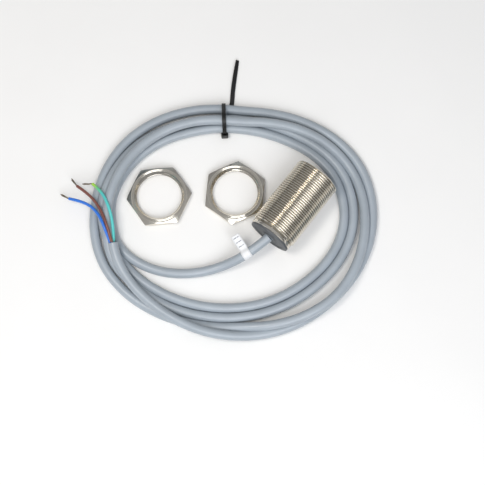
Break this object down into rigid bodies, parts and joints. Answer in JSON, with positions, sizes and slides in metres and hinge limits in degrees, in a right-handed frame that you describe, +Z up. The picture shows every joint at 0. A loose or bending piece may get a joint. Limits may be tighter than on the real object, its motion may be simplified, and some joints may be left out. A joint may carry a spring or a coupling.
{
  "type": "inductive proximity sensor",
  "caption": "Cylindrical metal inductive proximity sensor with a threaded barrel, coiled grey cable with stripped wires, and loose hex nuts.",
  "frame": {"origin": "centre of the sensing face, on the barrel's axis", "axes": "+X points out of the sensing face along the barrel's axis, +Z is up; the barrel lies on its side on a level surface at Z = -14.98 mm"},
  "size_m": [0.1665, 0.1809, 0.03],
  "materials": {
    "nickel_plated_brass": "nickel plated, turned and rolled thread, satin",
    "sensing_face_plastic": "moulded, matt",
    "ferrite": "sintered, matt",
    "bobbin_plastic": "moulded",
    "enamelled_copper": "enamelled wire",
    "tinned_metal": "tin plated",
    "holder_plastic": "moulded",
    "board_laminate": "glass laminate with solder mask",
    "package_plastic": "moulded epoxy",
    "capacitor_can": "drawn can",
    "varistor_coating": "dipped epoxy",
    "chip_ceramic": "fired ceramic",
    "rear_plug_plastic": "moulded polyamide",
    "grommet_rubber": "moulded",
    "cable_jacket": "extruded PVC, satin",
    "insulation_green_yellow": "extruded PVC",
    "insulation_brown": "extruded PVC",
    "insulation_blue": "extruded PVC",
    "epoxy_resin": "cast",
    "tinned_copper_strands": "bare stranded wire",
    "label_paper": "printed paper",
    "black_nylon": "moulded nylon"
  },
  "bodies": {
    "sensor": {"threaded_housing": "nickel_plated_brass", "sensing_face_cap": "sensing_face_plastic", "ferrite_pot_core": "ferrite", "coil_bobbin": "bobbin_plastic", "sensing_winding": "enamelled_copper", "bobbin_pins": "tinned_metal", "core_holder": "holder_plastic", "circuit_board": "board_laminate", "oscillator_chip": "package_plastic", "output_thyristor": "package_plastic", "bridge_rectifier": "package_plastic", "smoothing_capacitor": "capacitor_can", "surge_varistor": "varistor_coating", "chip_resistors": "chip_ceramic", "rear_plug": "rear_plug_plastic", "cable_grommet": "grommet_rubber", "cable_clamp_ring": "tinned_metal", "cable_inner_end": "cable_jacket", "earth_lug": "tinned_metal", "inner_wire_earth": "insulation_green_yellow", "inner_wire_brown": "insulation_brown", "inner_wire_blue": "insulation_blue", "potting_resin": "epoxy_resin", "cable_lead": "cable_jacket", "cable_coil": "cable_jacket", "conductor_brown": "insulation_brown", "conductor_blue": "insulation_blue", "conductor_yellow_green": "insulation_green_yellow", "bare_end_brown": "tinned_copper_strands", "bare_end_blue": "tinned_copper_strands", "bare_end_yellow_green": "tinned_copper_strands", "cable_label": "label_paper", "cable_tie": "black_nylon"},
    "left_nut": {"hex_nut_left": "nickel_plated_brass"},
    "right_nut": {"hex_nut_right": "nickel_plated_brass"}
  },
  "joints": [
    {"name": "left_nut_lift", "type": "slide", "parent": "sensor", "child": "left_nut", "axis": [0, 0, 1], "range_m": [0, 0.06]},
    {"name": "right_nut_lift", "type": "slide", "parent": "sensor", "child": "right_nut", "axis": [0, 0, 1], "range_m": [0, 0.06]}
  ]
}
